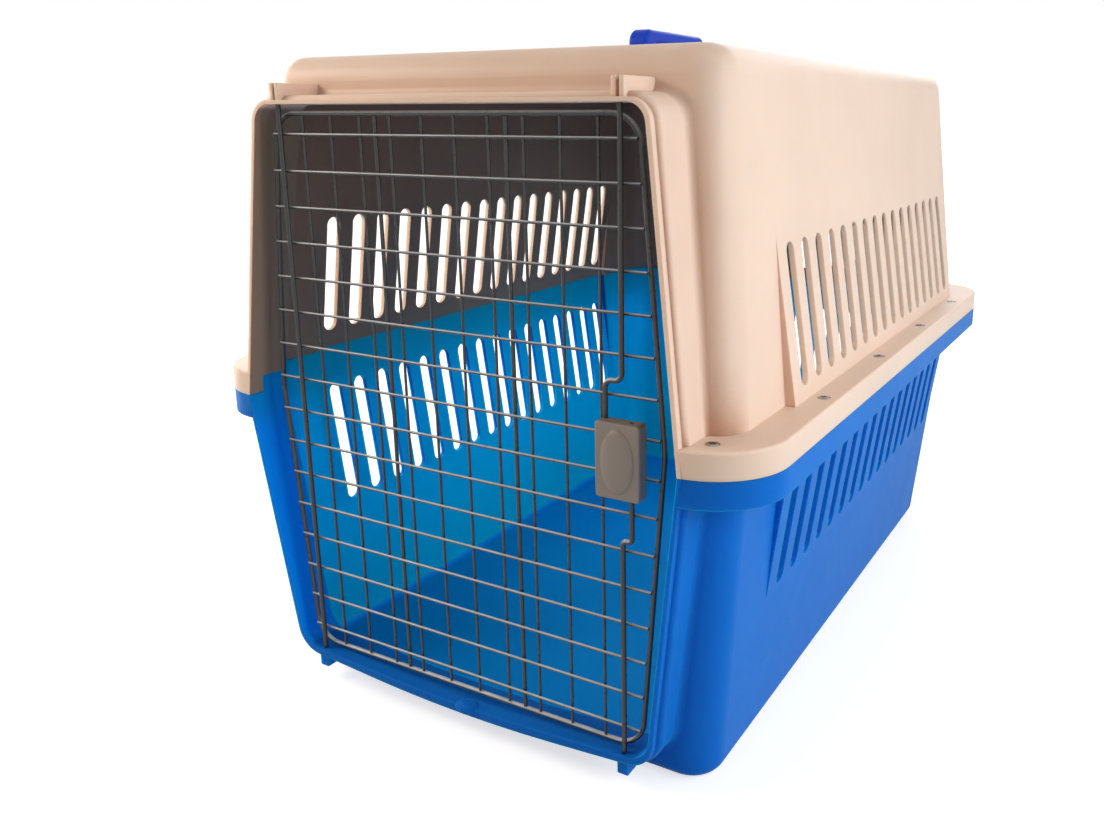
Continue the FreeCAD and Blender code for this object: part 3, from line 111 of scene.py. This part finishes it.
class Material:
    """One material and short ways to add nodes to it."""

    def __init__(self, name):
        self.data = bpy.data.materials.new(name)
        self.data.use_nodes = True
        self.tree = self.data.node_tree
        self.shader = self.tree.nodes["Principled BSDF"]
        self.place = self.node("ShaderNodeTexCoord").outputs["Object"]

    def node(self, kind, inputs=(), **settings):
        made = self.tree.nodes.new(kind)
        for name, value in settings.items():
            setattr(made, name, value)
        for name, value in dict(inputs).items():
            self.put(made.inputs[name], value)
        return made

    def put(self, socket, value):
        """Links an output to the socket, or sets the socket's own value."""
        if isinstance(value, bpy.types.NodeSocket):
            self.tree.links.new(value, socket)
        elif socket.type == "RGBA":
            socket.default_value = (*value, 1.0)
        else:
            socket.default_value = value

    def set(self, **sockets):
        """Puts values on the shader; an underscore stands for a space."""
        for name, value in sockets.items():
            self.put(self.shader.inputs[name.replace("_", " ")], value)

    def noise(self, scale, detail=2.0, rough=0.5):
        made = self.node("ShaderNodeTexNoise",
                         {"Vector": self.place, "Scale": scale, "Detail": detail, "Roughness": rough})
        return made.outputs["Fac"]

    def span(self, value, low, high, from_low=0.0, from_high=1.0):
        made = self.node("ShaderNodeMapRange", {
            "Value": value, "From Min": from_low, "From Max": from_high, "To Min": low, "To Max": high})
        return made.outputs["Result"]

    def rise(self, value, ends):
        """0 before the ends of the change, 1 past them."""
        return self.span(value, 0.0, 1.0, *ends)

    def fall(self, value, ends):
        """1 before the ends of the change, 0 past them."""
        return self.span(value, 1.0, 0.0, *ends)

    def mix(self, share, a, b):
        made = self.node("ShaderNodeMix", data_type="RGBA")
        colours = [socket for socket in made.inputs if socket.type == "RGBA"]
        self.put(made.inputs["Factor"], share)
        self.put(colours[0], a)
        self.put(colours[1], b)
        return [socket for socket in made.outputs if socket.type == "RGBA"][0]

    def bump(self, height, strength, distance, under=None):
        inputs = {"Height": height, "Strength": strength, "Distance": distance}
        if under is not None:
            inputs["Normal"] = under
        return self.node("ShaderNodeBump", inputs).outputs["Normal"]

    def math(self, operation, a, b=0.0, c=0.0):
        return self.node("ShaderNodeMath", {0: a, 1: b, 2: c}, operation=operation).outputs[0]

    def vector(self, operation, a, b):
        return self.node("ShaderNodeVectorMath", {0: a, 1: b}, operation=operation).outputs

    def product(self, first, *others):
        for other in others:
            first = self.math("MULTIPLY", first, other)
        return first

    def axes(self, vector):
        """The X, Y and Z of a vector, by name."""
        return self.node("ShaderNodeSeparateXYZ", {"Vector": vector}).outputs

    def geometry(self, name):
        return self.node("ShaderNodeNewGeometry").outputs[name]

    def upward(self, ends):
        """0 on faces that look sideways or down, 1 on those that look up."""
        return self.rise(self.axes(self.geometry("Normal"))["Z"], ends)

    def hollow(self):
        """Mask of painted shade: 1 in the hollow beside the collar where it looks forward, less near the
        roof, 0 elsewhere.
        """
        place = self.axes(self.place)
        openness = self.node("ShaderNodeAmbientOcclusion", {"Distance": HOLLOW_REACH},
                             samples=6, only_local=True)
        return self.product(
            self.fall(openness.outputs["AO"], HOLLOW_OPENNESS),
            self.fall(place["Y"], HOLLOW_Y),
            self.fall(self.axes(self.geometry("Normal"))["Y"], HOLLOW_LOOK),
            self.span(place["Z"], 1.0, HOLLOW_AT_ROOF, *HOLLOW_Z))

    def painted_slot_light(self):
        """Mask of painted light: 1 on the walls of the vent slots in the sides, 0 elsewhere."""
        place = self.axes(self.place)
        normal = self.axes(self.geometry("True Normal"))
        return self.product(
            self.rise(self.math("ABSOLUTE", normal["Y"]), SLOT_WALL_LOOK),
            self.fall(self.math("ABSOLUTE", place["Y"]), SLOT_ENDS_Y),
            self.rise(self.math("ABSOLUTE", place["X"]), SLOT_DEPTH_X))

    def inside(self, end):
        """Mask for the cabin's painted shading (shade on the cream, light on the blue): 1 on the inner faces
        of the shell that runs from the seam to end, 0 on its outer faces.
        """
        place = self.axes(self.place)
        normal = self.geometry("True Normal")
        along = self.math("DIVIDE", self.math("SUBTRACT", place["Z"], SEAM_Z), end["z"] - SEAM_Z)
        room = {name: self.math("MULTIPLY_ADD", along, end[name] - SEAM[name], SEAM[name] - WALL / 2)
                for name in SEAM}
        from_end = self.math("ABSOLUTE", self.math("SUBTRACT", place["Z"], end["z"]))
        depth = self.math("SUBTRACT", from_end, WALL / 2)
        for other in (
            self.math("SUBTRACT", room["half"], self.math("ABSOLUTE", place["X"])),
            self.math("ADD", room["front"], place["Y"]),
            self.math("SUBTRACT", room["rear"], place["Y"]),
        ):
            depth = self.math("MINIMUM", depth, other)
        from_middle = self.vector("SUBTRACT", self.place, (0.0, 0.0, SEAM_Z))[0]
        outlook = self.vector("DOT_PRODUCT", from_middle, normal)["Value"]
        within = self.product(self.rise(depth, HALF_WALL), self.fall(outlook, LOOKS_TO_MIDDLE))
        sideways = self.math("MULTIPLY", self.math("SIGN", place["X"]), self.axes(normal)["X"])
        inward = self.product(self.fall(sideways, LOOKS_INWARD), self.fall(place["Z"], DOOR_TOP_Z))
        return self.math("MAXIMUM", within, inward)


def clouded(made, colour):
    """The colour with faint clouds in it."""
    return made.mix(made.rise(made.noise(CLOUDS, 3.0), (0.3, 0.7)), shade(colour, 0.965), shade(colour, 1.03))


def mould(made, colour, roughness=0.46, grain=0.10):
    """Gives the finish of moulded plastic: soft edges, slow waves of the wall and a fine grain."""
    edges = made.node("ShaderNodeBevel", {"Radius": EDGE_RADIUS}, samples=4).outputs["Normal"]
    waves = made.bump(made.noise(WAVES, 1.0), 0.10, 0.004, edges)
    made.set(Base_Color=colour,
             Normal=made.bump(made.noise(GRAIN, 2.0, 0.6), grain, 0.0002, waves),
             Roughness=made.span(made.noise(FINISH, 4.0), roughness - 0.05, roughness + 0.06))


def cream_plastic():
    """Cream, with painted shade, darker and warmer, in the hollow beside the collar, painted light on the
    walls of the side slots, and painted shade in the cabin.
    """
    made = Material("CreamPlastic")
    # Painted shade in the hollow beside the collar
    outside = made.mix(made.hollow(), clouded(made, CREAM), CREAM_HOLLOW_SHADE)
    # Painted light on the slot walls
    outside = made.mix(made.painted_slot_light(), outside, CREAM_SLOT_LIGHT)
    # Painted shade in the cabin
    cabin = made.mix(made.noise(CABIN_CLOUDS), shade(CREAM_CABIN_SHADE, 0.94), shade(CREAM_CABIN_SHADE, 1.06))
    mould(made, made.mix(made.inside(ROOF), outside, cabin))
    made.set(Specular_IOR_Level=0.30, Subsurface_Weight=0.5,
             Subsurface_Radius=(1.0, 0.72, 0.58), Subsurface_Scale=0.008)
    return made.data


def blue_plastic():
    """Blue, with painted light in the cabin: brighter than the outer blue, dimmer on the walls towards the
    floor, and a separate painted light on the floor and the lip.
    """
    made = Material("BluePlastic")
    place = made.axes(made.place)
    # Painted light in the cabin, dimmer towards the floor
    walls = made.mix(made.fall(place["Z"], LOW_WALL_Z), BLUE_CABIN_LIGHT, BLUE_LOW_CABIN_LIGHT)
    floor_or_lip = made.math("MAXIMUM", made.fall(place["Y"], LIP_Y), made.upward(FLOOR_LOOK))
    # Painted light on the cabin floor and the lip
    cabin = made.mix(floor_or_lip, walls, BLUE_FLOOR_LIGHT)
    mould(made, made.mix(made.inside(GROUND), clouded(made, BLUE), cabin))
    made.set(Specular_IOR_Level=0.04, Subsurface_Weight=0.8,
             Subsurface_Radius=(0.1, 0.8, 1.0), Subsurface_Scale=0.011)
    return made.data


def handle_plastic():
    made = Material("HandlePlastic")
    mould(made, clouded(made, HANDLE_BLUE), roughness=0.30, grain=0.05)
    made.set(Specular_IOR_Level=0.08)
    return made.data


def taupe_plastic():
    made = Material("TaupePlastic")
    mould(made, clouded(made, TAUPE), roughness=0.44, grain=0.12)
    return made.data


def coated_wire():
    """Wire in a dark coat, with a painted highlight, pale in patches, on its upper side."""
    made = Material("DarkWire")
    patches = made.span(made.noise(WIRE_HIGHLIGHT_PATCHES, 4.0, 0.6), 0.7, 1.0, 0.35, 0.75)
    # Painted highlight on the wire's upper side
    painted_highlight = made.product(made.upward(HIGHLIGHT_LOOK), patches)
    made.set(Base_Color=made.mix(painted_highlight, WIRE, WIRE_TOP_HIGHLIGHT), Specular_IOR_Level=0.45,
             Roughness=made.span(made.noise(WIRE_FINISH, 3.0), 0.22, 0.38),
             Normal=made.bump(made.noise(WIRE_GRAIN), 0.08, 0.0002))
    return made.data


def metal(name, colour, roughness, tarnish):
    """Drawn or turned metal, with an uneven finish and a little tarnish."""
    made = Material(name)
    dull = made.rise(made.noise(tarnish, 4.0, 0.6), (0.35, 0.75))
    made.set(Base_Color=made.mix(dull, colour, shade(colour, 0.62)), Metallic=0.92,
             Roughness=made.span(made.noise(tarnish * 4, 3.0), roughness - 0.07, roughness + 0.10),
             Normal=made.bump(made.noise(METAL_GRAIN), 0.06, 0.0001))
    return made.data


MATERIALS = {
    "cream_plastic": cream_plastic(),
    "blue_plastic": blue_plastic(),
    "handle_plastic": handle_plastic(),
    "taupe_plastic": taupe_plastic(),
    "black_wire": coated_wire(),
    "screw_steel": metal("ScrewSteel", STEEL, 0.36, SCREW_TARNISH),
    "spring_steel": metal("SpringSteel", SPRING, 0.28, SPRING_TARNISH),
}
for part in frame["record"]["subparts"]:
    node = frame["nodes"][part["node"]]
    node.data.materials.clear()
    node.data.materials.append(MATERIALS[part["material_slot"]])


def seen_directly(tree):
    """1 for rays from the camera, and for those that a shiny or clear surface sends on."""
    path = tree.nodes.new("ShaderNodeLightPath")
    total = path.outputs["Is Camera Ray"]
    for name in ("Is Glossy Ray", "Is Transmission Ray"):
        either = tree.nodes.new("ShaderNodeMath")
        either.operation = "MAXIMUM"
        tree.links.new(total, either.inputs[0])
        tree.links.new(path.outputs[name], either.inputs[1])
        total = either.outputs[0]
    return total


def floor():
    """A pale floor with some light of its own for the camera, so that it reads as white and keeps shadows."""
    bpy.ops.mesh.primitive_plane_add(size=40.0)
    plane = bpy.context.object
    plane.name = "Floor"
    made = Material("FloorPale")
    distance = made.node("ShaderNodeVectorMath", {0: made.place}, operation="LENGTH").outputs["Value"]
    glow = made.product(seen_directly(made.tree), made.span(distance, *FLOOR_GLOW, *FLOOR_GLOW_FROM))
    made.set(Base_Color=made.mix(made.noise(FLOOR_CLOUDS), shade(FLOOR, 0.995), FLOOR), Roughness=0.9,
             Emission_Color=WHITE, Emission_Strength=glow)
    plane.data.materials.append(made.data)


def sky():
    """Even light from all round, and a white background."""
    world = bpy.data.worlds.new("Studio")
    bpy.context.scene.world = world
    world.use_nodes = True
    tree = world.node_tree
    level = tree.nodes.new("ShaderNodeMixRGB")
    level.inputs["Color1"].default_value = (*shade(AMBIENT, AMBIENT_LEVEL), 1.0)
    level.inputs["Color2"].default_value = (*WHITE, 1.0)
    tree.links.new(seen_directly(tree), level.inputs["Fac"])
    tree.links.new(level.outputs["Color"], tree.nodes["Background"].inputs["Color"])


def lamp(name, place, target, size, watts, colour):
    data = bpy.data.lights.new(name, "AREA")
    data.color = colour
    data.shape = "RECTANGLE"
    data.size, data.size_y = size
    data.energy = watts
    made = bpy.data.objects.new(name, data)
    bpy.context.collection.objects.link(made)
    made.location = place
    made.rotation_euler = (Vector(target) - Vector(place)).to_track_quat("-Z", "Y").to_euler()


def camera():
    data = bpy.data.cameras.new("Camera")
    data.sensor_width = SENSOR
    data.lens = FOCAL_PIXELS / PHOTO_WIDE * SENSOR
    data.shift_x = (PHOTO_WIDE / 2 - AXIS_PIXEL[0]) / PHOTO_WIDE
    data.shift_y = (AXIS_PIXEL[1] - PHOTO_HIGH / 2) / PHOTO_WIDE
    data.clip_start = 0.01
    made = bpy.data.objects.new("Camera", data)
    bpy.context.collection.objects.link(made)
    made.location = CAMERA_PLACE
    made.rotation_euler = (math.radians(90.0 - CAMERA_PITCH), 0.0, math.radians(CAMERA_AZIMUTH))
    bpy.context.scene.camera = made


floor()
sky()
for row in LAMPS:
    lamp(*row)
camera()
bpy.context.scene.view_settings.view_transform = "Standard"
